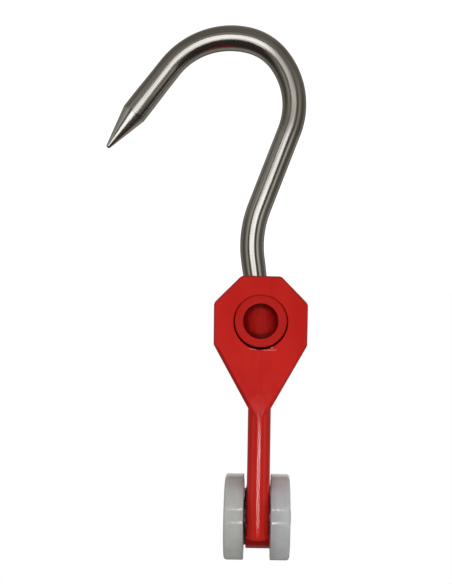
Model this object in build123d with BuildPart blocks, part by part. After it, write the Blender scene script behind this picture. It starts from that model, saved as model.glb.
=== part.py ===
from build123d import *
import math
import os

os.makedirs("parts", exist_ok=True)

# Overhead-rail trolley meat hook, in its hanging position.
# Millimetres. +Z is up, Y is the rolling direction along the rail, X is the axle.
# The origin is on the rail's running surface, midway between the two wheel treads.

# ------------------------------------------------------------------ driving dimensions
# wheels and axle
wheel_dia = 42.2
wheel_w = 9.6
axle_z = wheel_dia / 2          # axle centre above the running surface
axle_dia = 8.0
axle_half = 16.6               # half of the axle's length
circlip_x = {1: 15.15, -1: 14.25}  # inner side of the retaining ring, on the +X and -X sides
circlip_t = 0.8
circlip_od = 12.6
groove_dia = 7.6
boss_half = 6.0                 # half width of the axle boss
boss_r = 11.8                   # half depth and end radius of the axle boss
boss_low_z = 17.4              # centres of the boss's two round ends
boss_high_z = 25.0
wheel_in_x = 6.2                # inner face of the -X wheel
spacer_t = 1.2
spacer_od = 12.0
washer_flange_t = 0.85          # the +X spacer carries a wide flange, which sets that wheel further out
washer_flange_od = 28.0
side_extra = 0.9                # how much further out the +X wheel sits

# deep-groove ball bearing, 8 x 22 x 7
brg_w = 7.0
brg_od = 22.0
brg_pitch_r = 7.5
ball_dia = 3.969
ball_count = 7
race_r = 2.05
inner_ring_r = 6.05
outer_ring_bore_r = 9.15
shield_seat_r = 9.6
shield_t = 0.35
brg_inset = 1.0                 # wheel's inner face to the bearing

# trolley body
body_half = 17.0                # half of the body's depth along Y
head_half_w = 22.85
head_end_z = -100.0
head_flat_half = 9.7
head_top_z = -66.25              # where the side faces meet the tapers
head_low_z = -86.7              # where the side faces meet the end chamfers
stem_w = 11.3
stem_join_z = -35.6             # where the tapers meet the stem
stem_top_z = 28.7
stem_round = 4.9
edge_r = 2.4                    # rounding of the taper edges
rim_r = 0.9                     # rounding of the other head edges
bore_r = 13.28
lip_y = 16.0                    # the bore stops at a narrow lip at the back face
lip_r = 12.0
bore_z = -77.65
slot_half_y = 6.45
swing_side = 40.0               # swing either side of the body's centre line

# swivel barrel
barrel_r = 12.75
barrel_half = 16.8              # front end of the barrel
barrel_back = 15.8              # back end, against the lip
pivot_z = -78.05
recess_r = 8.65
recess_depth = 10.5
boss_shell_r = 10.4
chamber_r = 9.8
chamber_dome_r = 11.2
chamber_floor = -3.5
shank_bore_r = 6.1

# hook
rod_dia = 12.0
lean = 8.27                     # shank angle from the body's centre line
shank_len = 30.86
neck_r, neck_turn = 53.2, -28.75
back_len = 41.85
arc_a_r, arc_a_turn = 37.0, 57.33
arc_b_r, arc_b_turn = 27.6, 40.15
arc_c_r, arc_c_turn = 39.1, 65.69
point_len = 29.6
cone_len = 21.8
tip_r = 1.05
thread_dia = 10.0
shoulder = -3.35                # shank shoulder, from the pivot along the shank
washer_t = 1.5
washer_od = 18.4
nut_af = 16.0
nut_h = 7.6
ring_h = 2.0
thread_end = 7.6

# ------------------------------------------------------------------ planes
axle_plane = Plane(origin=(0, 0, axle_z), x_dir=(0, 1, 0), z_dir=(1, 0, 0))
pivot_plane = Plane(origin=(0, 0, pivot_z), x_dir=(1, 0, 0), z_dir=(0, -1, 0))
heading = -90 + lean
shank_dir = Vector(math.cos(math.radians(heading)), 0, math.sin(math.radians(heading)))
up_dir = shank_dir * -1
# plane across the shank at the pivot, its normal pointing up the shank
shank_plane = Plane(origin=(0, 0, pivot_z), x_dir=(0, 1, 0), z_dir=(up_dir.X, 0, up_dir.Z))


def write(part, name):
    part.label = name
    export_step(part, "parts/" + name + ".step")


# ------------------------------------------------------------------ trolley body
slope = (head_half_w - stem_w / 2) / (stem_join_z - head_top_z)
apex_z = stem_join_z + (stem_w / 2) / slope
taper_deg = math.degrees(math.atan(slope))

with BuildPart() as trolley_body:
    # eight-sided head, whose tapers run on over the stem to a point
    with BuildSketch(Plane.XZ) as head_outline:
        with BuildLine():
            Polyline(
                (0, apex_z),
                (-head_half_w, head_top_z),
                (-head_half_w, head_low_z),
                (-head_flat_half, head_end_z),
                (head_flat_half, head_end_z),
                (head_half_w, head_low_z),
                (head_half_w, head_top_z),
                close=True,
            )
        make_face()
        low_corners = head_outline.vertices().filter_by(lambda v: min(v.Y, v.Z) < head_low_z - 5)
        fillet(low_corners, 2.6)
    extrude(amount=body_half, both=True)
    # rounded side corners of the outline
    side_edges = trolley_body.edges().filter_by(Axis.Y)
    fillet(side_edges.filter_by(lambda e: abs(e.center().Z - head_low_z) < 0.5), 3.2)
    # lightly rounded front and back edges, all but the tapers
    rim = trolley_body.edges().filter_by(lambda e: abs(abs(e.center().Y) - body_half) < 0.01)
    fillet(rim.filter_by(lambda e: e.center().Z < head_top_z - 0.2), rim_r)
    # the side edges open out to the tapers' larger rounding
    for sx in (-1, 1):
        for sy in (-1, 1):
            for z, r in ((head_top_z + 0.4, edge_r), (head_low_z + 4.0, rim_r)):
                with BuildSketch(Plane(origin=(sx * head_half_w, sy * body_half, z), x_dir=(sx, 0, 0), z_dir=(0, 0, sx * sy))):
                    with BuildLine():
                        Line((-r, 0), (-r, 0.5))
                        Line((-r, 0.5), (0.5, 0.5))
                        Line((0.5, 0.5), (0.5, -r))
                        Line((0.5, -r), (0, -r))
                        ThreePointArc((0, -r), (-r + r * math.sqrt(0.5), -r + r * math.sqrt(0.5)), (-r, 0))
                    make_face()
            loft(mode=Mode.SUBTRACT)
    # rounded taper edges, run straight on to where they cross over the stem
    for sx in (-1, 1):
        for sy in (-1, 1):
            run = Vector(-sx * math.sin(math.radians(taper_deg)), 0, math.cos(math.radians(taper_deg)))
            out = Vector(sx * math.cos(math.radians(taper_deg)), 0, math.sin(math.radians(taper_deg)))
            start = Vector(sx * head_half_w, sy * (body_half + 0.02), head_top_z) - run * 0.2
            cut_plane = Plane(origin=tuple(start), x_dir=tuple(out), z_dir=tuple(run))
            y_side = 1 if cut_plane.y_dir.Y * sy > 0 else -1
            with BuildSketch(cut_plane):
                with Locations((0, 0)):
                    Rectangle(2 * edge_r, 2 * edge_r)
                with Locations((-edge_r, -y_side * edge_r)):
                    Circle(edge_r, mode=Mode.SUBTRACT)
                    Rectangle(edge_r * 2, edge_r * 2 - 0.0, align=(Align.MAX, Align.CENTER), mode=Mode.SUBTRACT)
                    Rectangle(edge_r * 2, edge_r * 2, align=(Align.CENTER, Align.MAX if y_side > 0 else Align.MIN), mode=Mode.SUBTRACT)
            extrude(amount=60, mode=Mode.SUBTRACT)
    # slightly rounded corners between sides and tapers
    corners = trolley_body.edges().filter_by(Axis.Y).filter_by(lambda e: abs(e.center().Z - head_top_z) < 0.3)
    fillet(corners, 1.6)
    # stem, full-round front and back
    with BuildSketch(Plane.XY.offset(-62)):
        RectangleRounded(stem_w, 2 * body_half, stem_round)
    extrude(amount=stem_top_z + 62)
    end_edges = trolley_body.edges().filter_by(lambda e: abs(e.center().Z - stem_top_z) < 0.01)
    fillet(end_edges, 1.2)
    # axle boss, a round-ended block a little wider than the stem
    with BuildSketch(Plane(origin=(0, 0, (boss_low_z + boss_high_z) / 2), x_dir=(0, 0, 1), z_dir=(1, 0, 0))):
        SlotCenterToCenter(boss_high_z - boss_low_z, 2 * boss_r)
    extrude(amount=boss_half, both=True)
    boss_edges = trolley_body.edges().filter_by(lambda e: abs(abs(e.center().X) - boss_half) < 0.01)
    chamfer(boss_edges, 0.2)
    # cross bore for the barrel
    with BuildSketch(Plane(origin=(0, 0, bore_z), x_dir=(1, 0, 0), z_dir=(0, -1, 0))):
        Circle(bore_r)
    extrude(amount=body_half + 1, mode=Mode.SUBTRACT)
    with BuildSketch(Plane(origin=(0, 0, bore_z), x_dir=(1, 0, 0), z_dir=(0, 1, 0))):
        Circle(bore_r)
    extrude(amount=lip_y, mode=Mode.SUBTRACT)
    with BuildSketch(Plane(origin=(0, 0, bore_z), x_dir=(1, 0, 0), z_dir=(0, 1, 0))):
        Circle(lip_r)
    extrude(amount=body_half + 1, mode=Mode.SUBTRACT)
    # slot that lets the shank swing
    s, c = math.sin(math.radians(swing_side)), math.cos(math.radians(swing_side))
    half = rod_dia / 2 + 0.5
    reach = 40
    with BuildSketch(Plane(origin=(0, 0, pivot_z), x_dir=(1, 0, 0), z_dir=(0, -1, 0))):
        Polygon(
            (0, half / s),
            (half * c + reach * s, half * s - reach * c),
            (0, -reach),
            (-half * c - reach * s, half * s - reach * c),
            align=None,
        )
    extrude(amount=slot_half_y, both=True, mode=Mode.SUBTRACT)
    # rim of the bore
    bore_edges = trolley_body.edges().filter_by(GeomType.CIRCLE).filter_by(
        lambda e: abs(abs(e.center().Y) - body_half) < 0.01 and abs(e.radius - bore_r) < 0.01
    )
    chamfer(bore_edges, 0.35)
    lip_edges = trolley_body.edges().filter_by(GeomType.CIRCLE).filter_by(
        lambda e: abs(e.center().Y - body_half) < 0.01 and abs(e.radius - lip_r) < 0.01
    )
    chamfer(lip_edges, 0.3)
    # axle hole
    with BuildSketch(axle_plane):
        Circle(axle_dia / 2)
    extrude(amount=boss_half + 1, both=True, mode=Mode.SUBTRACT)
write(trolley_body.part, "trolley_body")

# ------------------------------------------------------------------ axle, turned about X
with BuildPart() as axle:
    with BuildSketch(Plane(origin=(0, 0, axle_z), x_dir=(1, 0, 0), z_dir=(0, -1, 0))):
        with BuildLine():
            r, g = axle_dia / 2, groove_dia / 2
            a, b = circlip_x[1] - 0.05, circlip_x[1] + circlip_t + 0.05
            c, d = circlip_x[-1] - 0.05, circlip_x[-1] + circlip_t + 0.05
            Polyline(
                (-axle_half, 0), (-axle_half, r - 0.3), (-axle_half + 0.3, r), (-d, r), (-d, g), (-c, g), (-c, r),
                (a, r), (a, g), (b, g), (b, r), (axle_half - 0.3, r), (axle_half, r - 0.3), (axle_half, 0),
                close=True,
            )
        make_face()
    revolve(axis=Axis((0, 0, axle_z), (1, 0, 0)))
write(axle.part, "axle")

# ------------------------------------------------------------------ retaining rings, one at each end
with BuildPart() as axle_circlips:
    for side in (-1, 1):
        x0 = circlip_x[1] if side > 0 else -circlip_x[-1] - circlip_t
        with BuildSketch(Plane(origin=(x0, 0, axle_z), x_dir=(0, 1, 0), z_dir=(1, 0, 0))):
            Circle(circlip_od / 2 - 0.9)
            # lugs either side of the gap
            with PolarLocations(5.1, 2, start_angle=-112, angular_range=44):
                Circle(1.35)
            Circle(groove_dia / 2 + 0.02, mode=Mode.SUBTRACT)
            with Locations((0, -6)):
                Rectangle(1.5, 8, mode=Mode.SUBTRACT)
            with PolarLocations(5.1, 2, start_angle=-112, angular_range=44):
                Circle(0.55, mode=Mode.SUBTRACT)
        extrude(amount=circlip_t)
write(axle_circlips.part, "axle_circlips")


def wheel_set(side, name, extra):
    inner_face = side * (wheel_in_x + extra)
    brg_mid = side * (wheel_in_x + extra + brg_inset + brg_w / 2)
    # half-section plane: x runs outward along the axle, y is the radius
    half_plane = Plane(origin=(inner_face, 0, axle_z), x_dir=(side, 0, 0), z_dir=(0, -side, 0))
    brg_plane = Plane(origin=(brg_mid, 0, axle_z), x_dir=(side, 0, 0), z_dir=(0, -side, 0))
    spin = Axis((0, 0, axle_z), (1, 0, 0))
    rw = wheel_dia / 2

    # nylon wheel, with a shallow dish in each face and a seat for the bearing
    with BuildPart() as wheel:
        with BuildSketch(half_plane):
            with BuildLine():
                Polyline(
                    (0, 9.35), (0, 12.9), (0.7, 13.6), (0.7, 17.6), (0, 18.3),
                    (0, rw), (wheel_w, rw), (wheel_w, 18.2), (wheel_w - 1.1, 17.2),
                    (wheel_w - 1.1, 13.9), (wheel_w - 0.3, 13.1), (wheel_w - 0.3, brg_od / 2 + 0.35),
                    (wheel_w - 0.65, brg_od / 2), (brg_inset, brg_od / 2), (brg_inset, 9.35),
                    close=True,
                )
            make_face()
        revolve(axis=spin)
        tread = wheel.edges().filter_by(GeomType.CIRCLE).filter_by(lambda e: abs(e.radius - rw) < 0.01)
        outer = tread.filter_by(lambda e: abs(e.center().X) > abs(inner_face) + 1)
        inner = tread.filter_by(lambda e: abs(e.center().X) < abs(inner_face) + 1)
        fillet(outer, 1.5)
        fillet(inner, 0.6)
    write(wheel.part, "wheel_" + name)

    # bearing outer ring
    hw = brg_w / 2
    with BuildPart() as outer_ring:
        with BuildSketch(brg_plane):
            with BuildLine():
                Polyline(
                    (-hw, shield_seat_r), (-hw, brg_od / 2 - 0.3), (-hw + 0.3, brg_od / 2), (hw - 0.3, brg_od / 2),
                    (hw, brg_od / 2 - 0.3), (hw, shield_seat_r), (hw - 0.75, shield_seat_r), (hw - 0.75, outer_ring_bore_r),
                    (-hw + 0.75, outer_ring_bore_r), (-hw + 0.75, shield_seat_r),
                    close=True,
                )
            make_face()
            with Locations((0, brg_pitch_r)):
                Circle(race_r, mode=Mode.SUBTRACT)
        revolve(axis=spin)
    write(outer_ring.part, "bearing_outer_ring_" + name)

    # bearing inner ring
    with BuildPart() as inner_ring:
        with BuildSketch(brg_plane):
            with BuildLine():
                Polyline(
                    (-hw, axle_dia / 2 + 0.25), (-hw, inner_ring_r), (hw, inner_ring_r), (hw, axle_dia / 2 + 0.25),
                    (hw - 0.25, axle_dia / 2), (-hw + 0.25, axle_dia / 2),
                    close=True,
                )
            make_face()
            with Locations((0, brg_pitch_r)):
                Circle(race_r, mode=Mode.SUBTRACT)
        revolve(axis=spin)
    write(inner_ring.part, "bearing_inner_ring_" + name)

    # pressed shields, one each side of the balls
    with BuildPart() as shields:
        for k in (-1, 1):
            mid = k * (hw - 0.45)
            with BuildSketch(brg_plane):
                with BuildLine():
                    Polyline(
                        (mid - shield_t / 2, 6.3), (mid - shield_t / 2, shield_seat_r), (mid + shield_t / 2, shield_seat_r),
                        (mid + shield_t / 2, 6.3),
                        close=True,
                    )
                make_face()
            revolve(axis=spin)
    write(shields.part, "bearing_shields_" + name)

    # balls
    ring_plane = Plane(origin=(brg_mid, 0, axle_z), x_dir=(0, 1, 0), z_dir=(1, 0, 0))
    with BuildPart() as balls:
        with Locations(ring_plane):
            with PolarLocations(brg_pitch_r, ball_count):
                Sphere(ball_dia / 2)
    write(balls.part, "bearing_balls_" + name)

    # ball cage
    with BuildPart() as cage:
        with BuildSketch(ring_plane.offset(-2.35)):
            Circle(8.3)
            Circle(6.75, mode=Mode.SUBTRACT)
        extrude(amount=4.7)
        # round pockets, one for each ball
        for i in range(ball_count):
            t = 2 * math.pi * i / ball_count
            # the ring plane's x is Y and its y is Z
            outward = (0, math.cos(t), math.sin(t))
            with BuildSketch(Plane(origin=(brg_mid, 0, axle_z), x_dir=(1, 0, 0), z_dir=outward)):
                Circle(ball_dia / 2 + 0.12)
            extrude(amount=12, mode=Mode.SUBTRACT)
    write(cage.part, "bearing_cage_" + name)

    # spacer between the boss and the inner ring
    with BuildPart() as spacer:
        with BuildSketch(Plane(origin=(side * boss_half, 0, axle_z), x_dir=(0, 1, 0), z_dir=(side, 0, 0))):
            Circle(spacer_od / 2)
            Circle(axle_dia / 2 + 0.1, mode=Mode.SUBTRACT)
        extrude(amount=spacer_t + extra)
        if extra:
            with BuildSketch(Plane(origin=(side * boss_half, 0, axle_z), x_dir=(0, 1, 0), z_dir=(side, 0, 0))):
                Circle(washer_flange_od / 2)
                Circle(axle_dia / 2 + 0.1, mode=Mode.SUBTRACT)
            extrude(amount=washer_flange_t)
        chamfer(spacer.edges().filter_by(GeomType.CIRCLE).filter_by(lambda e: e.radius > 13 or abs(e.center().X) > boss_half + 1 and e.radius > 5), 0.2)
    write(spacer.part, "axle_spacer_" + name)


wheel_set(1, "right", side_extra)
wheel_set(-1, "left", 0.0)

# ------------------------------------------------------------------ swivel barrel
with BuildPart() as swivel_barrel:
    with BuildSketch(pivot_plane):
        Circle(barrel_r)
    extrude(amount=barrel_half)
    with BuildSketch(pivot_plane):
        Circle(barrel_r)
    extrude(amount=-barrel_back)
    barrel_rims = swivel_barrel.edges().filter_by(GeomType.CIRCLE)
    chamfer(barrel_rims.filter_by(lambda e: e.center().Y < -barrel_back), 0.5)
    chamfer(swivel_barrel.edges().filter_by(GeomType.CIRCLE).filter_by(lambda e: e.center().Y > barrel_back - 0.01), 0.3)
    # blind round recess in the front face, in front of the shank housing
    with BuildSketch(pivot_plane.offset(barrel_half)):
        Circle(recess_r)
    extrude(amount=-recess_depth, mode=Mode.SUBTRACT)
    # rounded housing of the shank and nut, standing in the recess
    with BuildSketch(shank_plane.offset(-12)):
        Circle(boss_shell_r)
    extrude(amount=24)
    with BuildSketch(pivot_plane):
        Circle(barrel_r + 4)
        Circle(barrel_r, mode=Mode.SUBTRACT)
    extrude(amount=barrel_half, both=True, mode=Mode.SUBTRACT)
    # nut chamber, open to the back face
    chamber_plane = Plane(origin=(0, 0, pivot_z), x_dir=(-up_dir.Z, 0, up_dir.X), z_dir=(0, 1, 0))
    with BuildPart(mode=Mode.PRIVATE) as chamber:
        with BuildSketch(shank_plane.offset(chamber_floor)):
            Circle(chamber_r)
        extrude(amount=16)
        with BuildSketch(shank_plane.offset(chamber_floor)):
            with Locations((barrel_half / 2 + 1, 0)):
                Rectangle(barrel_half + 2, 2 * chamber_r)
        extrude(amount=16)
        with BuildSketch(pivot_plane):
            Circle(chamber_dome_r)
        extrude(amount=barrel_half + 2, both=True, mode=Mode.INTERSECT)
    add(chamber.part, mode=Mode.SUBTRACT)
    # shank bore
    with BuildSketch(shank_plane.offset(chamber_floor + 0.5)):
        Circle(shank_bore_r)
    extrude(amount=-14, mode=Mode.SUBTRACT)
write(swivel_barrel.part, "swivel_barrel")

# ------------------------------------------------------------------ hook
base = Vector(0, 0, pivot_z)


def along(point, deg, length):
    return point + Vector(math.cos(math.radians(deg)), 0, math.sin(math.radians(deg))) * length


def turned(point, deg, radius, turn):
    side = 1 if turn > 0 else -1
    centre = along(point, deg + 90 * side, radius)
    return along(centre, deg - 90 * side + turn, radius), along(centre, deg - 90 * side + turn / 2, radius)


with BuildPart() as hook:
    start = base + up_dir * shoulder
    p1 = along(base, heading, shank_len)
    p2, m2 = turned(p1, heading, neck_r, neck_turn)
    h2 = heading + neck_turn
    p3 = along(p2, h2, back_len)
    p4, m4 = turned(p3, h2, arc_a_r, arc_a_turn)
    h4 = h2 + arc_a_turn
    p5, m5 = turned(p4, h4, arc_b_r, arc_b_turn)
    h5 = h4 + arc_b_turn
    p6, m6 = turned(p5, h5, arc_c_r, arc_c_turn)
    h6 = h5 + arc_c_turn
    p7 = along(p6, h6, point_len)
    with BuildLine() as rod_line:
        Line(start, p1)
        ThreePointArc(p1, m2, p2)
        Line(p2, p3)
        ThreePointArc(p3, m4, p4)
        ThreePointArc(p4, m5, p5)
        ThreePointArc(p5, m6, p6)
        Line(p6, p7)
    with BuildSketch(Plane(origin=tuple(start), x_dir=(0, 1, 0), z_dir=tuple(shank_dir))):
        Circle(rod_dia / 2)
    sweep(path=rod_line.line)
    # ground point, slightly blunted
    d7 = Vector(math.cos(math.radians(h6)), 0, math.sin(math.radians(h6)))
    n7 = Vector(-d7.Z, 0, d7.X)
    cone_plane = Plane(origin=tuple(p7), x_dir=tuple(d7), z_dir=tuple(n7.cross(d7) * -1))
    with BuildSketch(cone_plane) as cone_half:
        with BuildLine():
            tip_c = cone_len - tip_r
            fall = math.atan(rod_dia / 2 / tip_c) - math.asin(tip_r / math.hypot(tip_c, rod_dia / 2))
            touch = (tip_c + tip_r * math.sin(fall), tip_r * math.cos(fall))
            mid = (90 - math.degrees(fall)) / 2
            Polyline((-0.5, 0), (-0.5, rod_dia / 2), (0, rod_dia / 2), touch)
            ThreePointArc(
                touch,
                (tip_c + tip_r * math.cos(math.radians(mid)), tip_r * math.sin(math.radians(mid))),
                (cone_len, 0),
            )
            Line((cone_len, 0), (-0.5, 0))
        make_face()
    revolve(axis=Axis(tuple(p7), tuple(d7)))
    # threaded end
    with BuildSketch(shank_plane.offset(shoulder - 0.5)):
        Circle(thread_dia / 2)
    extrude(amount=thread_end - shoulder + 0.5)
    top_edge = hook.edges().filter_by(GeomType.CIRCLE).sort_by(Axis.Z)[-1]
    chamfer(top_edge, 0.8)
write(hook.part, "hook")

# ------------------------------------------------------------------ washer, lock nut and its nylon ring
with BuildPart() as thrust_washer:
    with BuildSketch(shank_plane.offset(shoulder)):
        Circle(washer_od / 2)
        Circle(thread_dia / 2 + 0.15, mode=Mode.SUBTRACT)
    extrude(amount=washer_t)
    chamfer(thrust_washer.edges().filter_by(GeomType.CIRCLE).filter_by(lambda e: e.radius > 6), 0.2)
write(thrust_washer.part, "thrust_washer")

nut_low = shoulder + washer_t
with BuildPart() as lock_nut:
    with BuildSketch(shank_plane.offset(nut_low)):
        RegularPolygon(nut_af / 2, 6, major_radius=False, rotation=30)
    extrude(amount=nut_h)
    with BuildPart(mode=Mode.PRIVATE) as nut_turning:
        with BuildSketch(Plane.XZ):
            with BuildLine():
                rc = nut_af / math.sqrt(3)
                Polyline(
                    (0, 0), (rc - 1.2, 0), (rc + 0.05, 0.72), (rc + 0.05, nut_h - ring_h - 0.72),
                    (rc - 1.2, nut_h - ring_h), (7.3, nut_h - ring_h), (7.3, nut_h - 0.5), (6.8, nut_h), (0, nut_h),
                    close=True,
                )
            make_face()
        revolve(axis=Axis.Z)
    add(nut_turning.part.moved(shank_plane.offset(nut_low).location), mode=Mode.INTERSECT)
    with BuildSketch(shank_plane.offset(nut_low)):
        Circle(thread_dia / 2)
    extrude(amount=nut_h, mode=Mode.SUBTRACT)
    with BuildSketch(shank_plane.offset(nut_low + nut_h - ring_h)):
        Circle(6.2)
    extrude(amount=ring_h - 0.4, mode=Mode.SUBTRACT)
    with BuildSketch(shank_plane.offset(nut_low + nut_h - 0.5)):
        Circle(5.7)
    extrude(amount=0.5, mode=Mode.SUBTRACT)
write(lock_nut.part, "lock_nut")

with BuildPart() as lock_nut_ring:
    with BuildSketch(shank_plane.offset(nut_low + nut_h - ring_h)):
        Circle(6.2)
        Circle(thread_dia / 2, mode=Mode.SUBTRACT)
    extrude(amount=ring_h - 0.4)
write(lock_nut_ring.part, "lock_nut_ring")
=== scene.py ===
import bpy
import math
from mathutils import Matrix, Vector


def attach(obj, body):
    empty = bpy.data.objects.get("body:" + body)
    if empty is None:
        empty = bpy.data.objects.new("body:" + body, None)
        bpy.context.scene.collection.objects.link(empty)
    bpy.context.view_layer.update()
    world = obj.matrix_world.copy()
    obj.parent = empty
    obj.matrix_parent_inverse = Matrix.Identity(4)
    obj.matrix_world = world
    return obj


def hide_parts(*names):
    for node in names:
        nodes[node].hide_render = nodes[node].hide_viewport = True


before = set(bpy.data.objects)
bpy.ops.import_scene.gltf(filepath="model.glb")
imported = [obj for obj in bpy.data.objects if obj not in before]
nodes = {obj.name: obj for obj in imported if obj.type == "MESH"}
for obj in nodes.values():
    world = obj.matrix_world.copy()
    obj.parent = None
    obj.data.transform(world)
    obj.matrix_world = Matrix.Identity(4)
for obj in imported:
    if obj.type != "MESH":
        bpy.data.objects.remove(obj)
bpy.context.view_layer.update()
scene = bpy.context.scene
scene.view_settings.view_transform = "Standard"
scene.view_settings.look = "None"

MM = 0.001


# ------------------------------------------------------------------ node helpers
class Tree:
    """Small helper around a node tree."""

    def __init__(self, tree):
        self.t = tree
        self.n = tree.nodes
        self.l = tree.links

    def new(self, kind, **props):
        node = self.n.new(kind)
        for k, v in props.items():
            setattr(node, k, v)
        return node

    def put(self, node, socket, value):
        s = node.inputs[socket]
        if isinstance(value, bpy.types.NodeSocket):
            self.l.new(value, s)
        elif value is not None:
            s.default_value = value

    def math(self, op, a, b=None, c=None, clamp=False):
        m = self.new("ShaderNodeMath", operation=op, use_clamp=clamp)
        for i, v in enumerate((a, b, c)):
            if v is not None:
                self.put(m, i, v)
        return m.outputs[0]

    def vmath(self, op, a, b=None, scale=None):
        m = self.new("ShaderNodeVectorMath", operation=op)
        self.put(m, 0, a)
        if b is not None:
            self.put(m, 1, b)
        if scale is not None:
            self.put(m, "Scale", scale)
        return m.outputs["Value"] if op in ("DOT_PRODUCT", "LENGTH", "DISTANCE") else m.outputs[0]

    def smooth(self, v, a, b, lo=0.0, hi=1.0):
        """lo below a, hi above b, eased between."""
        m = self.new("ShaderNodeMapRange", interpolation_type="SMOOTHSTEP")
        self.put(m, "Value", v)
        m.inputs["From Min"].default_value = a
        m.inputs["From Max"].default_value = b
        m.inputs["To Min"].default_value = lo
        m.inputs["To Max"].default_value = hi
        return m.outputs["Result"]

    def window(self, v, a, b, soft):
        """1 between a and b, with soft edges outside."""
        return self.math("MULTIPLY", self.smooth(v, a - soft, a), self.smooth(v, b, b + soft, 1.0, 0.0))

    def noise(self, vec, scale, detail=2.0, rough=0.5, distortion=0.0, dims="3D"):
        m = self.new("ShaderNodeTexNoise", noise_dimensions=dims)
        self.put(m, "Vector", vec)
        m.inputs["Scale"].default_value = scale
        m.inputs["Detail"].default_value = detail
        m.inputs["Roughness"].default_value = rough
        m.inputs["Distortion"].default_value = distortion
        return m.outputs["Fac"]

    def mix(self, fac, a, b, blend="MIX"):
        m = self.new("ShaderNodeMix", data_type="RGBA", blend_type=blend, clamp_result=False)
        self.put(m, 0, fac)
        self.put(m, 6, a)
        self.put(m, 7, b)
        return m.outputs[2]

    def mapping(self, vec, loc=(0, 0, 0), rot=(0, 0, 0), scale=(1, 1, 1)):
        m = self.new("ShaderNodeMapping")
        self.put(m, "Vector", vec)
        m.inputs["Location"].default_value = loc
        m.inputs["Rotation"].default_value = rot
        m.inputs["Scale"].default_value = scale
        return m.outputs[0]

    def xyz(self, vec):
        s = self.new("ShaderNodeSeparateXYZ")
        self.put(s, 0, vec)
        return s.outputs[0], s.outputs[1], s.outputs[2]

    def combine(self, x, y, z):
        s = self.new("ShaderNodeCombineXYZ")
        for i, v in enumerate((x, y, z)):
            self.put(s, i, v)
        return s.outputs[0]

    def bump(self, height, strength, distance, normal=None):
        b = self.new("ShaderNodeBump")
        b.inputs["Strength"].default_value = strength
        b.inputs["Distance"].default_value = distance
        self.put(b, "Height", height)
        if normal is not None:
            self.put(b, "Normal", normal)
        return b.outputs[0]


def material(name, **consts):
    mat = bpy.data.materials.new(name)
    mat.use_nodes = True
    t = Tree(mat.node_tree)
    bsdf = next(n for n in t.n if n.type == "BSDF_PRINCIPLED")
    for k, v in consts.items():
        bsdf.inputs[k.replace("_", " ")].default_value = v
    return mat, t, bsdf


def rgb(r, g, b):
    return (r, g, b, 1.0)


def obj_co(t):
    return t.new("ShaderNodeTexCoord").outputs["Object"]


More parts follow.
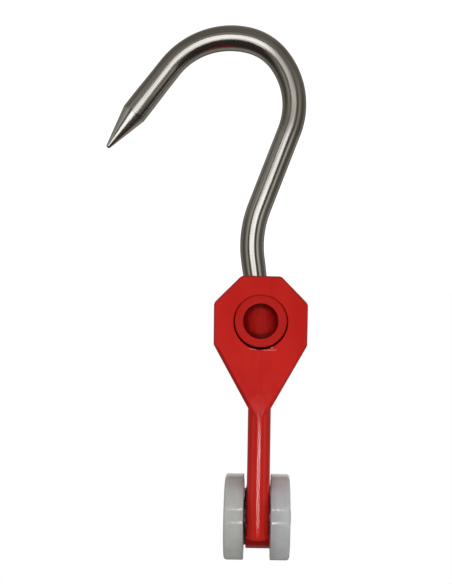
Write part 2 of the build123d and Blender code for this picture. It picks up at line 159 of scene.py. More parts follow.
# ------------------------------------------------------------------ red moulded nylon
def red_nylon(name, knit=False, pins=False, recess=False, body=False):
    mat, t, bsdf = material(name, IOR=1.46)
    bsdf.inputs["Specular IOR Level"].default_value = 0.34
    co = obj_co(t)
    x, y, z = t.xyz(co)
    # flow clouding in the pigment
    flow = t.noise(t.mapping(co, scale=(1.0, 0.6, 0.45)), 55.0, 3.0, 0.55, 0.4)
    fine = t.noise(co, 900.0, 2.0, 0.6)
    col = t.mix(t.smooth(flow, 0.32, 0.68), rgb(0.535, 0.0150, 0.0115), rgb(0.600, 0.0205, 0.0160))
    col = t.mix(t.smooth(fine, 0.25, 0.8, 0.0, 0.10), col, rgb(0.47, 0.011, 0.010))
    height = t.math("MULTIPLY", t.noise(co, 420.0, 3.0, 0.55), 0.7)
    height = t.math("ADD", height, t.math("MULTIPLY", t.noise(co, 2600.0, 2.0, 0.6), 0.34))
    if knit:
        # faint knit line where two melt fronts met, down the middle of the front and back faces
        wander = t.noise(t.combine(0.0, 0.0, z), 120.0, 3.0, 0.6)
        off = t.math("ABSOLUTE", t.math("ADD", x, t.math("MULTIPLY_ADD", wander, 0.0022, -0.0006)))
        line = t.math("MULTIPLY", t.smooth(off, 0.00012, 0.00042, 1.0, 0.0), t.window(z, -0.061, -0.037, 0.006))
        line = t.math("MULTIPLY", line, t.smooth(t.math("ABSOLUTE", y), 0.0155, 0.0165))
        col = t.mix(t.math("MULTIPLY", line, 0.35), col, rgb(0.42, 0.010, 0.010))
        height = t.math("SUBTRACT", height, t.math("MULTIPLY", line, 0.9))
    if pins:
        # witness rings of the ejector pins, on the back face only
        for px, pz, pr in ((-0.0175, -0.0885, 0.0022), (0.0175, -0.0885, 0.0022), (0.0, -0.0480, 0.0026), (0.0, -0.0158, 0.0020), (0.0, 0.0040, 0.0020)):
            d = t.vmath("DISTANCE", t.combine(x, 0.0, z), (px, 0.0, pz))
            ring = t.math("MULTIPLY", t.smooth(t.math("ABSOLUTE", t.math("SUBTRACT", d, pr)), 0.00010, 0.00028, 1.0, 0.0), t.smooth(y, 0.0160, 0.0168))
            height = t.math("SUBTRACT", height, t.math("MULTIPLY", ring, 1.2))
            col = t.mix(t.math("MULTIPLY", ring, 0.3), col, rgb(0.36, 0.008, 0.008))
    if recess:
        # drag streaks on the rounded housing; painted shade darkens the floor and the wall of the blind recess, most on
        # the wall's side towards the hook
        inside = t.smooth(y, -0.01655, -0.0160)
        front = t.smooth(y, -0.004, 0.002, 1.0, 0.0)
        rr = t.vmath("LENGTH", t.combine(x, 0.0, t.math("SUBTRACT", z, -0.07805)))
        streak = t.noise(t.combine(t.math("MULTIPLY", x, 1300.0), 0.0, t.math("MULTIPLY", z, 90.0)), 1.0, 3.0, 0.6)
        deep = t.math("MULTIPLY", t.math("MULTIPLY", inside, front), t.smooth(rr, 0.00862, 0.00868, 1.0, 0.0))
        wall = t.math("MULTIPLY", t.math("MULTIPLY", inside, front), t.window(rr, 0.0069, 0.0090, 0.0012))
        # painted shade: the recess floor is darkened, broken up by the streaks
        col = t.mix(t.math("MULTIPLY", deep, t.smooth(streak, 0.35, 0.70, 0.10, 0.50)), col, rgb(0.30, 0.0050, 0.0045))
        # painted shade: the recess wall is darkened, darkest on its side towards the hook
        top_shade = t.math("ADD", t.smooth(t.math("ADD", z, 0.07805), -0.0082, -0.0020, 0.74, 0.16), t.smooth(t.math("ADD", z, 0.07805), 0.0040, 0.0082, 0.0, 0.46))
        col = t.mix(t.math("MULTIPLY", wall, top_shade), col, rgb(0.085, 0.0012, 0.0014))
        height = t.math("ADD", height, t.math("MULTIPLY", t.math("MULTIPLY", deep, streak), 2.2))
    if body:
        # the stem is a little deeper in tone than the head
        stem = t.smooth(z, -0.0380, -0.0330)
        height = t.math("MULTIPLY", height, t.smooth(z, -0.0380, -0.0330, 1.0, 0.40))
        col = t.mix(t.math("MULTIPLY", stem, 0.42), col, rgb(0.400, 0.0110, 0.0075))
        # painted shade: the rounded edge along the taper on the +X side is darkened, standing in for the weaker light
        # on that side
        edge = t.math("MULTIPLY_ADD", x, 0.872, t.math("MULTIPLY", z, 0.489))
        painted_bevel_shade = t.math("MULTIPLY", t.smooth(edge, -0.01440, -0.01415), t.window(z, -0.0640, -0.0380, 0.0020))
        col = t.mix(t.math("MULTIPLY", painted_bevel_shade, 0.50), col, rgb(0.250, 0.0080, 0.0060))
        # painted shade: a thin darker band along the head's outer edges, on the rounded edges of the front and back
        # faces
        ax = t.math("ABSOLUTE", x)
        rim = t.math("MINIMUM", t.math("SUBTRACT", 0.02285, ax), t.math("ADD", z, 0.1000))
        rim = t.math("MINIMUM", rim, t.math("SUBTRACT", 0.07746, t.math("MULTIPLY", t.math("SUBTRACT", ax, z), 0.7071)))
        rim = t.math("MINIMUM", rim, t.math("SUBTRACT", -0.01248, t.math("MULTIPLY_ADD", ax, 0.872, t.math("MULTIPLY", z, 0.489))))
        rim = t.math("MULTIPLY", t.smooth(rim, 0.00015, 0.00110, 1.0, 0.0), t.smooth(t.math("ABSOLUTE", y), 0.0140, 0.0155))
        rim = t.math("MULTIPLY", rim, t.smooth(z, -0.0385, -0.0365, 1.0, 0.0))
        col = t.mix(t.math("MULTIPLY", rim, 0.62), col, rgb(0.200, 0.0120, 0.0110))
        # painted shade: the boss end under the stem's rounded end is darkened, where it faces away from the light
        low = t.math("MULTIPLY", t.smooth(z, 0.0291, 0.0296), t.smooth(y, -0.002, 0.002, 1.0, 0.0))
        col = t.mix(t.math("MULTIPLY", low, 0.72), col, rgb(0.16, 0.0045, 0.0035))
        # the bore's rim: painted shadow darkens the chamfer on the wheels' side, widening the dark gap there; a thin
        # line of flash runs along it, painted bright as a highlight
        bx, bz = x, t.math("SUBTRACT", z, -0.07765)
        br = t.vmath("LENGTH", t.combine(bx, 0.0, bz))
        turn = t.math("ARCTAN2", bx, bz)
        front = t.smooth(y, -0.0150, -0.0160)
        ragged = t.noise(t.combine(t.math("MULTIPLY", turn, 9.0), 0.0, 0.0), 1.0, 3.0, 0.6)
        arc = t.smooth(t.math("ABSOLUTE", turn), 0.30, 0.80, 1.0, 0.0)
        painted_crescent_shadow = t.math("MULTIPLY", t.math("MULTIPLY", front, arc), t.smooth(br, 0.01350, 0.01366, 1.0, 0.0))
        col = t.mix(t.math("MULTIPLY", painted_crescent_shadow, t.smooth(ragged, 0.34, 0.50, 0.30, 0.90)), col, rgb(0.020, 0.0030, 0.0030))
        # the flash line leaves the circle as it runs out to both sides; its brightness is a painted highlight of the
        # burr catching the light
        spread = t.smooth(turn, -0.02, 0.02, 0.0070, 0.0024)
        flash_at = t.math("ADD", t.math("MULTIPLY", t.math("MULTIPLY", turn, turn), spread), t.math("MULTIPLY_ADD", ragged, 0.00012, 0.01350))
        flash_and_highlight = t.smooth(t.math("ABSOLUTE", t.math("SUBTRACT", br, flash_at)), 0.00009, 0.00026, 1.0, 0.0)
        flash_and_highlight = t.math("MULTIPLY", flash_and_highlight, t.math("MULTIPLY", t.window(turn, -0.50, 0.36, 0.06), front))
        away = t.smooth(t.math("ABSOLUTE", t.math("ADD", turn, -0.04)), 0.06, 0.20)
        flash_and_highlight = t.math("MULTIPLY", flash_and_highlight, t.math("MULTIPLY", away, t.smooth(ragged, 0.30, 0.56, 0.45, 1.0)))
        col = t.mix(t.math("MULTIPLY", flash_and_highlight, 0.72), col, rgb(0.88, 0.27, 0.22))
        # painted highlight: a small bright speck beside the bore
        speck_at = t.vmath("DISTANCE", t.combine(x, 0.0, z), (-0.0056, 0.0, -0.0653))
        speck = t.math("MULTIPLY", t.smooth(speck_at, 0.00022, 0.00042, 1.0, 0.0), front)
        col = t.mix(t.math("MULTIPLY", speck, 0.9), col, rgb(0.95, 0.40, 0.22))
    t.put(bsdf, "Base Color", col)
    rough = t.smooth(t.noise(co, 260.0, 4.0, 0.65), 0.3, 0.7, 0.07, 0.13)
    if body:
        rough = t.math("MULTIPLY", rough, t.smooth(z, -0.0380, -0.0330, 1.0, 0.65))
    t.put(bsdf, "Roughness", rough)
    t.put(bsdf, "Normal", t.bump(height, 0.20, 0.00005))
    return mat


# ------------------------------------------------------------------ white nylon wheels
def white_nylon(name, tint):
    mat, t, bsdf = material(name, IOR=1.53)
    bsdf.inputs["Specular IOR Level"].default_value = 0.5
    bsdf.inputs["Subsurface Weight"].default_value = 0.35
    bsdf.inputs["Subsurface Radius"].default_value = (0.0030, 0.0030, 0.0028)
    bsdf.inputs["Subsurface Scale"].default_value = 1.0
    co = obj_co(t)
    x, y, z = t.xyz(co)
    # turned surface: radius about the axle
    rad = t.vmath("LENGTH", t.combine(0.0, y, t.math("SUBTRACT", z, 0.0211)))
    cloud = t.noise(co, 130.0, 3.0, 0.6, 0.3)
    a = rgb(*tint)
    b = rgb(*[c * 0.90 for c in tint])
    col = t.mix(t.smooth(cloud, 0.3, 0.7), a, b)
    speck = t.noise(co, 1800.0, 1.0, 0.5)
    col = t.mix(t.smooth(speck, 0.70, 0.80, 0.0, 0.22), col, rgb(0.30, 0.30, 0.28))
    # painted shade darkening the tread towards the inner face, tinted with a painted red reflection of the body
    inner = t.smooth(t.math("ABSOLUTE", x), 0.0063, 0.0108, 1.0, 0.0)
    col = t.mix(t.math("MULTIPLY", inner, 0.34), col, rgb(0.33, 0.235, 0.215))
    t.put(bsdf, "Base Color", col)
    t.put(bsdf, "Roughness", t.smooth(t.noise(t.mapping(co, scale=(6.0, 1.0, 1.0)), 300.0, 2.0, 0.5), 0.3, 0.7, 0.07, 0.13))
    turn_face = t.noise(t.combine(rad, 0.0, 0.0), 2600.0, 2.0, 0.5)
    turn_rim = t.noise(t.combine(x, 0.0, 0.0), 2200.0, 2.0, 0.5)
    height = t.math("ADD", t.math("MULTIPLY", turn_face, 0.5), t.math("MULTIPLY", turn_rim, 0.08))
    height = t.math("ADD", height, t.math("MULTIPLY", t.noise(co, 240.0, 2.0, 0.5), 1.2))
    t.put(bsdf, "Normal", t.bump(height, 0.10, 0.00004))
    return mat


# ------------------------------------------------------------------ metals
def metal(name, col_a, col_b, rough, streak, bump=0.2, axis="spin", aniso=0.0):
    """Turned metal: fine rings about the axle, or about the shank for the nut and washer."""
    mat, t, bsdf = material(name, Metallic=1.0)
    bsdf.inputs["Anisotropic"].default_value = aniso
    co = obj_co(t)
    x, y, z = t.xyz(co)
    if axis == "spin":
        rad = t.vmath("LENGTH", t.combine(0.0, y, t.math("SUBTRACT", z, 0.0211)))
        lines = t.combine(rad, x, 0.0)
    else:
        lines = co
    rings = t.noise(t.mapping(lines, scale=(streak, streak, 1.0)), 1.0, 3.0, 0.6)
    blot = t.noise(co, 260.0, 3.0, 0.6)
    col = t.mix(t.smooth(blot, 0.3, 0.7), rgb(*col_a), rgb(*col_b))
    col = t.mix(t.smooth(rings, 0.35, 0.65, 0.0, 0.35), col, rgb(*[c * 0.62 for c in col_a]))
    t.put(bsdf, "Base Color", col)
    t.put(bsdf, "Roughness", t.smooth(rings, 0.3, 0.7, rough, rough + 0.14))
    t.put(bsdf, "Normal", t.bump(rings, bump, 0.00003))
    return mat


def rod_steel(name, ground=False):
    """Drawn rod: u runs along the rod in metres, v round it in metres."""
    mat, t, bsdf = material(name, Metallic=1.0)
    bsdf.inputs["Anisotropic"].default_value = 0.85 if ground else 0.70
    uv = t.new("ShaderNodeUVMap", uv_map="rod").outputs[0]
    u, v, _ = t.xyz(uv)
    # long fine scratches, in three lengths
    s1 = t.noise(t.combine(t.math("MULTIPLY", u, 9.0), t.math("MULTIPLY", v, 1400.0), 0.0), 1.0, 4.0, 0.62)
    s2 = t.noise(t.combine(t.math("MULTIPLY", u, 30.0), t.math("MULTIPLY", v, 3600.0), 3.7), 1.0, 3.0, 0.6)
    s3 = t.noise(t.combine(t.math("MULTIPLY", u, 110.0), t.math("MULTIPLY", v, 900.0), 8.1), 1.0, 2.0, 0.5)
    blot = t.noise(t.combine(t.math("MULTIPLY", u, 28.0), t.math("MULTIPLY", v, 90.0), 1.3), 1.0, 4.0, 0.6)
    if ground:
        s1 = t.noise(t.combine(t.math("MULTIPLY", u, 5200.0), t.math("MULTIPLY", v, 60.0), 0.0), 1.0, 3.0, 0.6)
    col = t.mix(t.smooth(blot, 0.30, 0.72), rgb(0.640, 0.622, 0.585), rgb(0.520, 0.500, 0.455))
    col = t.mix(t.smooth(s1, 0.42, 0.66, 0.0, 0.62), col, rgb(0.300, 0.285, 0.250))
    col = t.mix(t.smooth(s2, 0.56, 0.70, 0.0, 0.60), col, rgb(0.84, 0.83, 0.80))
    t.put(bsdf, "Base Color", col)
    if ground:
        col = t.mix(0.6, col, rgb(0.86, 0.85, 0.82))
    low_rough, high_rough = (0.12, 0.20) if ground else (0.11, 0.24)
    rough = t.math("ADD", t.smooth(s1, 0.25, 0.75, low_rough, high_rough), t.smooth(s3, 0.3, 0.7, 0.0, 0.05))
    t.put(bsdf, "Roughness", t.math("ADD", rough, t.math("MULTIPLY", t.window(u, 0.102, 0.134, 0.012), 0.10)))
    # a few long draw lines that run the whole length
    s4 = t.noise(t.combine(t.math("MULTIPLY", u, 2.2), t.math("MULTIPLY", v, 640.0), 5.2), 1.0, 2.0, 0.55)
    col = t.mix(t.smooth(s4, 0.56, 0.66, 0.0, 0.0 if ground else 0.50), col, rgb(0.250, 0.235, 0.205))
    # duller where it was bent
    bent = t.math("MULTIPLY", t.window(u, 0.100, 0.134, 0.010), 0.66)
    col = t.mix(bent, col, rgb(0.360, 0.330, 0.285))
    t.put(bsdf, "Base Color", col)
    height = t.math("ADD", t.math("MULTIPLY", s1, 0.8), t.math("MULTIPLY", s2, 0.5))
    height = t.math("ADD", height, t.math("MULTIPLY", s3, 0.3))
    height = t.math("ADD", height, t.math("MULTIPLY", s4, 2.0))
    if ground:
        # the point is ground slightly hollow, so its surface leans less than the cone through its ends
        height = t.math("ADD", t.math("MULTIPLY", height, 0.000006), t.math("MULTIPLY", u, 0.15))
        t.put(bsdf, "Normal", t.bump(height, 1.0, 1.0))
    else:
        t.put(bsdf, "Normal", t.bump(height, 0.36, 0.00004))
    tan = t.new("ShaderNodeTangent", direction_type="UV_MAP", uv_map="rod")
    t.put(bsdf, "Tangent", tan.outputs[0])
    return mat


# ------------------------------------------------------------------ the hook: a bent rod with a rolled thread and a ground point
PIVOT_Z = -78.05
LEAN = 8.27
R_ROD = 6.0
# radius of the bent rod along its length in mm: a little fuller where it was bent and before the point
ROD_RADII = (
    (0.0, 6.00), (20.0, 6.00), (24.0, 6.11), (110.0, 6.12), (116.0, 6.16), (134.3, 6.20), (140.4, 6.32), (146.4, 6.40), (152.5, 6.42),
    (158.6, 6.40), (164.7, 6.34), (170.7, 6.24), (176.8, 6.17), (182.9, 6.12), (195.0, 6.10), (207.2, 6.17), (213.3, 6.28),
    (219.4, 6.36), (400.0, 6.38),
)


def rod_radius(s):
    for (a, ra), (b, rb) in zip(ROD_RADII, ROD_RADII[1:]):
        if s <= b:
            return ra + (rb - ra) * (s - a) / (b - a)
    return ROD_RADII[-1][1]


def hook_path():
    """Stations (arc length, x, z, heading in degrees) in mm, from the shank's shoulder to the start of the ground point."""
    head = -90.0 + LEAN
    a = math.radians(head)
    x, z = 0.0 + 3.35 * math.cos(a), PIVOT_Z + 3.35 * math.sin(a)
    out, s = [(0.0, x, z, head)], 0.0
    for kind, length, radius, turn in (
        ("line", 30.86 - 3.35, 0, 0), ("arc", 0, 53.2, -28.75), ("line", 41.85, 0, 0), ("arc", 0, 37.0, 57.33),
        ("arc", 0, 27.6, 40.15), ("arc", 0, 39.1, 65.69), ("line", 29.6, 0, 0),
    ):
        if kind == "line":
            n = max(2, int(length / 1.5))
            for i in range(n):
                x += math.cos(math.radians(head)) * length / n
                z += math.sin(math.radians(head)) * length / n
                s += length / n
                out.append((s, x, z, head))
        else:
            n = max(4, int(abs(turn) / 1.6))
            side = 1 if turn > 0 else -1
            cx = x + math.cos(math.radians(head + 90 * side)) * radius
            cz = z + math.sin(math.radians(head + 90 * side)) * radius
            for i in range(n):
                head += turn / n
                x = cx + math.cos(math.radians(head - 90 * side)) * radius
                z = cz + math.sin(math.radians(head - 90 * side)) * radius
                s += math.radians(abs(turn) / n) * radius
                out.append((s, x, z, head))
    return out


def make_hook():
    path = hook_path()
    seg = 96
    verts, faces, uvs, zones = [], [], [], []
    rings = []

    def ring(s, x, z, head, radii):
        a = math.radians(head)
        n = Vector((-math.sin(a), 0, math.cos(a)))     # in the hook's plane, across the rod
        base = len(verts)
        for i in range(seg):
            # i = 0 at the back, so that the seam is behind
            phi = 2 * math.pi * i / seg
            r = radii(i) if callable(radii) else radii
            p = Vector((x, 0, z)) + (Vector((0, 1, 0)) * math.cos(phi) + n * math.sin(phi)) * r
            verts.append(p * MM)
        rings.append((base, s))

    # thread, from its top end down to the shoulder
    s0, x0, z0, h0 = path[0]
    a0 = math.radians(h0)
    pitch, top = 1.5, 3.35 + 7.6
    steps = int(top / (pitch / 8))
    for k in range(steps + 1):
        d = top - k * top / steps                       # distance above the shoulder

        def thread_r(i, d=d):
            lead = (d / pitch + i / seg) % 1.0
            tri = abs(lead * 2 - 1)
            depth = 0.80 * min(1.0, max(0.0, (tri - 0.12) / 0.76))
            end = top - d
            r = 4.98 - depth
            if end < 0.8:
                r = min(r, 4.2 + end * 0.98)
            if d < 1.0:
                r = r * (d / 1.0) + 4.4 * (1 - d / 1.0)
            return r

        ring(-d, x0 - math.cos(a0) * d, z0 - math.sin(a0) * d, h0, thread_r)
    n_thread = len(rings)
    # shoulder with a small chamfer
    ring(0.0, x0, z0, h0, 5.6)
    ring(0.4, x0 + math.cos(a0) * 0.4, z0 + math.sin(a0) * 0.4, h0, R_ROD)
    for s, x, z, h in path[1:]:
        ring(s, x, z, h, rod_radius(s))
    n_rod = len(rings)
    # ground cone, its edge a little uneven, with a blunted tip
    s, x, z, h = path[-1]
    a = math.radians(h)
    cone, tip = 21.8, 1.25
    tip_c = cone - tip
    r_end = rod_radius(s)
    fall = math.atan(r_end / tip_c) - math.asin(tip / math.hypot(tip_c, r_end))
    touch = tip_c + tip * math.sin(fall)
    r_touch = tip * math.cos(fall)
    ring(s + 0.25, x + math.cos(a) * 0.25, z + math.sin(a) * 0.25, h, r_end - 0.05)
    nc = 26
    for k in range(1, nc + 1):
        d = 0.25 + (touch - 0.25) * k / nc
        r = r_end + (r_touch - r_end) * d / touch
        ring(s + d, x + math.cos(a) * d, z + math.sin(a) * d, h, r)
    for k in range(1, 6):
        q = fall + (math.pi / 2 - fall) * k / 6
        d = tip_c + tip * math.sin(q)
        ring(s + d, x + math.cos(a) * d, z + math.sin(a) * d, h, tip * math.cos(q))
    apex = len(verts)
    verts.append(Vector((x + math.cos(a) * cone, 0, z + math.sin(a) * cone)) * MM)

    circumference = 2 * math.pi * R_ROD
    for k in range(len(rings) - 1):
        (b0, sa), (b1, sb) = rings[k], rings[k + 1]
        for i in range(seg):
            j = (i + 1) % seg
            faces.append((b0 + i, b0 + j, b1 + j, b1 + i))
            va, vb = i / seg * circumference, (i + 1) / seg * circumference
            uvs.append(((sa, va), (sa, vb), (sb, vb), (sb, va)))
            zones.append(1 if k >= n_rod else (2 if k < n_thread else 0))
    b, sb = rings[-1]
    for i in range(seg):
        j = (i + 1) % seg
        faces.append((b + i, b + j, apex))
        va, vb = i / seg * circumference, (i + 1) / seg * circumference
        uvs.append(((sb, va), (sb, vb), (sb + 0.2, (va + vb) / 2)))
        zones.append(1)
    # flat end of the thread
    centre = len(verts)
    a = math.radians(h0)
    verts.append(Vector((x0 - math.cos(a) * top, 0, z0 - math.sin(a) * top)) * MM)
    b, sb = rings[0]
    for i in range(seg):
        j = (i + 1) % seg
        faces.append((b + j, b + i, centre))
        va, vb = i / seg * circumference, (i + 1) / seg * circumference
        uvs.append(((sb, vb), (sb, va), (sb - 4, (va + vb) / 2)))
        zones.append(2)

    me = bpy.data.meshes.new("hook_rod")
    me.from_pydata([tuple(p) for p in verts], [], faces)
    layer = me.uv_layers.new(name="rod")
    flat = []
    for f in uvs:
        for c in f:
            flat.extend((c[0] * MM, c[1] * MM))
    layer.data.foreach_set("uv", flat)
    me.polygons.foreach_set("use_smooth", [True] * len(faces))
    me.polygons.foreach_set("material_index", zones)
    me.update()
    me.validate()
    obj = bpy.data.objects.new("hook_rod", me)
    scene.collection.objects.link(obj)
    # crisp edges at the shoulder, the end of the thread and the start of the ground point
    me.set_sharp_from_angle(angle=math.radians(24))
    return obj


hook = make_hook()
hook.data.materials.append(rod_steel("steel_rod"))
hook.data.materials.append(rod_steel("steel_ground", ground=True))
hook.data.materials.append(rod_steel("steel_thread"))
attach(hook, "hook")
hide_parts("hook")

# ------------------------------------------------------------------ materials of the CAD nodes
# a near-black washer: its black stands in for the shade in the narrow gap beside the wheel
def black_as_gap_shade(name):
    mat, t, bsdf = material(name, IOR=1.5)
    co = obj_co(t)
    x, y, z = t.xyz(co)
    rad = t.vmath("LENGTH", t.combine(0.0, y, t.math("SUBTRACT", z, 0.0211)))
    rings = t.noise(t.combine(t.math("MULTIPLY", rad, 3800.0), 0.0, 0.0), 1.0, 2.0, 0.5)
    n = t.noise(co, 500.0, 3.0, 0.6)
    t.put(bsdf, "Base Color", t.mix(t.smooth(n, 0.3, 0.7), rgb(0.012, 0.012, 0.013), rgb(0.026, 0.024, 0.024)))
    t.put(bsdf, "Roughness", t.smooth(n, 0.3, 0.7, 0.24, 0.38))
    t.put(bsdf, "Normal", t.bump(t.math("ADD", n, rings), 0.25, 0.00004))
    return mat


steel = metal("bearing_ring_steel", (0.62, 0.62, 0.63), (0.54, 0.54, 0.55), 0.12, 5000.0)
looks = {
    "trolley_body": red_nylon("red_nylon_body", knit=True, pins=True, body=True),
    "swivel_barrel": red_nylon("red_nylon_barrel", recess=True),
    "wheel_right": white_nylon("white_nylon_right", (0.680, 0.680, 0.642)),
    "wheel_left": white_nylon("white_nylon_left", (0.688, 0.692, 0.698)),
    "axle": metal("axle_steel", (0.60, 0.60, 0.59), (0.50, 0.50, 0.49), 0.20, 4000.0),
    "axle_circlips": metal("spring_steel", (0.20, 0.19, 0.18), (0.13, 0.12, 0.12), 0.34, 3000.0),
    "axle_spacer_right": black_as_gap_shade("washer_black_nylon"),
    "axle_spacer_left": metal("spacer_steel_left", (0.50, 0.50, 0.49), (0.40, 0.40, 0.39), 0.26, 4000.0),
    "bearing_inner_ring_right": steel,
    "bearing_outer_ring_right": steel,
    "bearing_shields_right": metal("shield_steel", (0.52, 0.52, 0.53), (0.44, 0.44, 0.45), 0.22, 3600.0),
    "bearing_cage_right": metal("cage_brass", (0.62, 0.46, 0.20), (0.50, 0.36, 0.15), 0.28, 3000.0),
    "bearing_balls_right": metal("ball_steel", (0.74, 0.74, 0.75), (0.70, 0.70, 0.71), 0.06, 200.0, bump=0.02),
    "thrust_washer": metal("washer_steel", (0.58, 0.58, 0.57), (0.48, 0.47, 0.46), 0.26, 2400.0, axis="own"),
    "lock_nut": metal("nut_steel", (0.62, 0.62, 0.62), (0.50, 0.50, 0.50), 0.24, 1500.0, axis="own"),
}
for name in ("bearing_inner_ring", "bearing_outer_ring", "bearing_shields", "bearing_cage", "bearing_balls"):
    looks[name + "_left"] = looks[name + "_right"]


def blue_nylon(name):
    mat, t, bsdf = material(name, IOR=1.5)
    co = obj_co(t)
    n = t.noise(co, 700.0, 3.0, 0.6)
    t.put(bsdf, "Base Color", t.mix(t.smooth(n, 0.3, 0.7), rgb(0.08, 0.20, 0.50), rgb(0.05, 0.13, 0.38)))
    t.put(bsdf, "Roughness", t.smooth(n, 0.3, 0.7, 0.38, 0.55))
    t.put(bsdf, "Normal", t.bump(n, 0.3, 0.00004))
    return mat


looks["lock_nut_ring"] = blue_nylon("nut_ring_nylon")

for name, obj in nodes.items():
    if name == "hook":
        continue
    mat = looks[name]
    if not obj.material_slots:
        obj.data.materials.append(mat)
    for s in obj.material_slots:
        s.link = "OBJECT"
        s.material = mat

# ------------------------------------------------------------------ camera, at the photograph's viewing angle
cam_data = bpy.data.cameras.new("camera")
cam_data.lens = 48.7
cam_data.sensor_width = 36.0
cam_data.shift_x = -0.0587
cam_data.shift_y = 0.0137
cam_data.clip_start = 0.01
cam_data.clip_end = 50.0
camera = bpy.data.objects.new("camera", cam_data)
scene.collection.objects.link(camera)
roll = math.radians(0.866)
right = Vector((-math.cos(roll), 0, -math.sin(roll)))
up = Vector((math.sin(roll), 0, -math.cos(roll)))
back = Vector((0, -1, 0))
place = Vector((0.000386, -0.400, -0.08833))
camera.matrix_world = Matrix((
    (right.x, up.x, back.x, place.x),
    (right.y, up.y, back.y, place.y),
    (right.z, up.z, back.z, place.z),
    (0, 0, 0, 1),
))
scene.camera = camera

# ------------------------------------------------------------------ stage: a plain pale floor
floor_z = -0.30
me = bpy.data.meshes.new("floor")
R = 12.0
me.from_pydata([(-R, -R, floor_z), (R, -R, floor_z), (R, R, floor_z), (-R, R, floor_z)], [], [(0, 1, 2, 3)])
floor = bpy.data.objects.new("floor", me)
scene.collection.objects.link(floor)
mat, t, bsdf = material("floor_white", Roughness=0.9)
bsdf.inputs["Base Color"].default_value = rgb(0.85, 0.85, 0.85)
bsdf.inputs["Specular IOR Level"].default_value = 0.0
bsdf.inputs["Emission Color"].default_value = rgb(1.0, 1.0, 1.0)
bsdf.inputs["Emission Strength"].default_value = 0.90
me.materials.append(mat)
floor.visible_diffuse = False
floor.visible_glossy = False
floor.visible_transmission = False

# ------------------------------------------------------------------ light
world = bpy.data.worlds.new("studio")
scene.world = world
world.use_nodes = True
w = Tree(world.node_tree)
for n in list(w.n):
    w.n.remove(n)
out = w.new("ShaderNodeOutputWorld")
direction = w.new("ShaderNodeTexCoord").outputs["Generated"]
dx, dy, dz = w.xyz(direction)
az = w.math("DEGREES", w.math("ARCTAN2", dx, w.math("MULTIPLY", dy, -1.0)))   # 0 towards -Y
el = w.math("DEGREES", w.math("ARCSINE", dz))
az_abs = w.math("ABSOLUTE", az)
# what the shiny surfaces see, mostly by the angle away from the camera's side
off = w.math("DEGREES", w.math("ARCCOSINE", w.math("MULTIPLY", dy, -1.0)))
grey = w.mix(w.smooth(off, 38.0, 47.0), rgb(0.060, 0.056, 0.050), rgb(0.47, 0.45, 0.41))
grey = w.mix(w.smooth(off, 56.0, 72.0), grey, rgb(0.105, 0.099, 0.086))
grey = w.mix(w.smooth(off, 96.0, 116.0), grey, rgb(0.24, 0.228, 0.205))
grey = w.mix(w.smooth(off, 132.0, 150.0), grey, rgb(0.05, 0.048, 0.045))
low_grey = w.mix(w.smooth(el, -45.0, -30.0), rgb(0.135, 0.127, 0.112), rgb(0.27, 0.255, 0.230))
grey = w.mix(w.math("MULTIPLY", w.smooth(el, -26.0, -16.0, 1.0, 0.0), w.smooth(off, 88.0, 104.0, 1.0, 0.0)), grey, low_grey)
dark_up = w.math("MULTIPLY", w.smooth(el, 15.0, 26.0), w.smooth(off, 88.0, 112.0, 1.0, 0.0))
grey = w.mix(dark_up, grey, rgb(0.026, 0.018, 0.016))
back_panel = w.math("MULTIPLY", w.smooth(az_abs, 150.0, 160.0), w.window(el, -30.0, 12.0, 8.0))
grey = w.mix(back_panel, grey, rgb(0.9, 0.9, 0.9))
glossy_bg = w.new("ShaderNodeBackground")
w.put(glossy_bg, "Color", grey)
glossy_bg.inputs["Strength"].default_value = 1.15
# soft fill for the matt shading, strongest from the front
fill = w.smooth(dy, -1.0, 0.7, 1.0, 0.45)
fill = w.math("MULTIPLY", fill, w.math("MULTIPLY_ADD", dx, -0.26, 1.0))
fill = w.math("MULTIPLY", fill, w.math("MULTIPLY_ADD", dz, -0.43, 1.0))
diffuse_bg = w.new("ShaderNodeBackground")
w.put(diffuse_bg, "Color", w.combine(fill, fill, fill))
diffuse_bg.inputs["Strength"].default_value = 0.62
white_bg = w.new("ShaderNodeBackground")
white_bg.inputs["Color"].default_value = rgb(1.0, 1.0, 1.0)
white_bg.inputs["Strength"].default_value = 1.0
rays = w.new("ShaderNodeLightPath")
mix_g = w.new("ShaderNodeMixShader")
w.put(mix_g, 0, rays.outputs["Is Glossy Ray"])
w.put(mix_g, 1, diffuse_bg.outputs[0])
w.put(mix_g, 2, glossy_bg.outputs[0])
mix_c = w.new("ShaderNodeMixShader")
w.put(mix_c, 0, rays.outputs["Is Camera Ray"])
w.put(mix_c, 1, mix_g.outputs[0])
w.put(mix_c, 2, white_bg.outputs[0])
w.put(out, 0, mix_c.outputs[0])


def area(name, place, size, size_y, power, aim=(0, 0, -0.09), shape="RECTANGLE", color=(1, 1, 1)):
    data = bpy.data.lights.new(name, "AREA")
    data.shape = shape
    data.size = size
    data.size_y = size_y
    data.energy = power
    data.color = color
    lamp = bpy.data.objects.new(name, data)
    scene.collection.objects.link(lamp)
    lamp.location = place
    lamp.rotation_mode = "QUATERNION"
    lamp.rotation_quaternion = (Vector(aim) - Vector(place)).to_track_quat("-Z", "Y")
    lamp.visible_camera = False
    return lamp


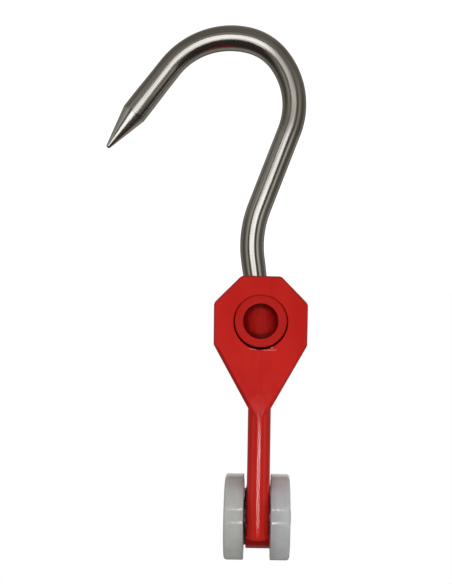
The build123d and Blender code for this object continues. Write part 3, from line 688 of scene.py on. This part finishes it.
def only(lamp, name, objs):
    group = bpy.data.collections.new(name)
    for o in objs:
        group.objects.link(o)
    lamp.light_linking.receiver_collection = group


red_parts = [nodes["trolley_body"]]
other_parts = [o for n, o in nodes.items() if n not in ("trolley_body", "swivel_barrel", "hook")]
# two small lamps above and below the camera, for the thin glints on the wheels and the metal
lamp_a = area("lamp_high", (0, -0.41, 0.034), 0.022, 0.022, 0.13, aim=(0, 0, 0.0), shape="ELLIPSE")
lamp_b = area("lamp_low", (0, -0.41, -0.232), 0.022, 0.022, 0.15, aim=(0, 0, -0.15), shape="ELLIPSE")
only(lamp_a, "glint_parts_high", other_parts)
only(lamp_b, "glint_parts_low", other_parts)
# strips for the lines of light down the stem and along the tapers
strip = area("red_strip", (0.0, -0.41, 0.078), 0.024, 0.113, 0.30, aim=(0.0, 0, 0.078))
line = area("red_line", (0.0, -0.41, 0.084), 0.008, 0.100, 0.30, aim=(0.0, 0, 0.084))
line.visible_diffuse = False
only(line, "red_line_parts", red_parts)
side_a = area("red_side_right", (0.095, -0.41, 0.010), 0.040, 0.120, 0.20, aim=(0.095, 0, 0.010))
side_b = area("red_side_left", (-0.095, -0.41, 0.010), 0.040, 0.120, 0.20, aim=(-0.095, 0, 0.010))
# a broad soft light for the barrel, which the narrow strips would leave glints in
broad = area("barrel_soft", (0.0, -0.60, -0.078), 0.50, 0.50, 1.00, aim=(0, 0, -0.078))
only(broad, "barrel_parts", [nodes["swivel_barrel"]])
for i, lamp in enumerate((strip, side_a, side_b)):
    only(lamp, "red_parts_%d" % i, red_parts)
# the same soft light from behind, so the back isn't left dark
behind = area("back_soft", (0.0, 0.60, -0.050), 0.50, 0.50, 1.10, aim=(0, 0, -0.050))
only(behind, "back_parts", [o for n, o in nodes.items() if n != "hook"])
# the fill lights stay out of reflections: seen from behind, the side faces would mirror them as white
for lamp in (strip, side_a, side_b, broad, behind):
    lamp.visible_glossy = False
# panel round the camera, for the steel
panel = area("steel_panel", (0.022, -0.45, -0.180), 0.36, 0.31, 0.50, aim=(0.022, 0, -0.180))
only(panel, "steel_parts", [hook])
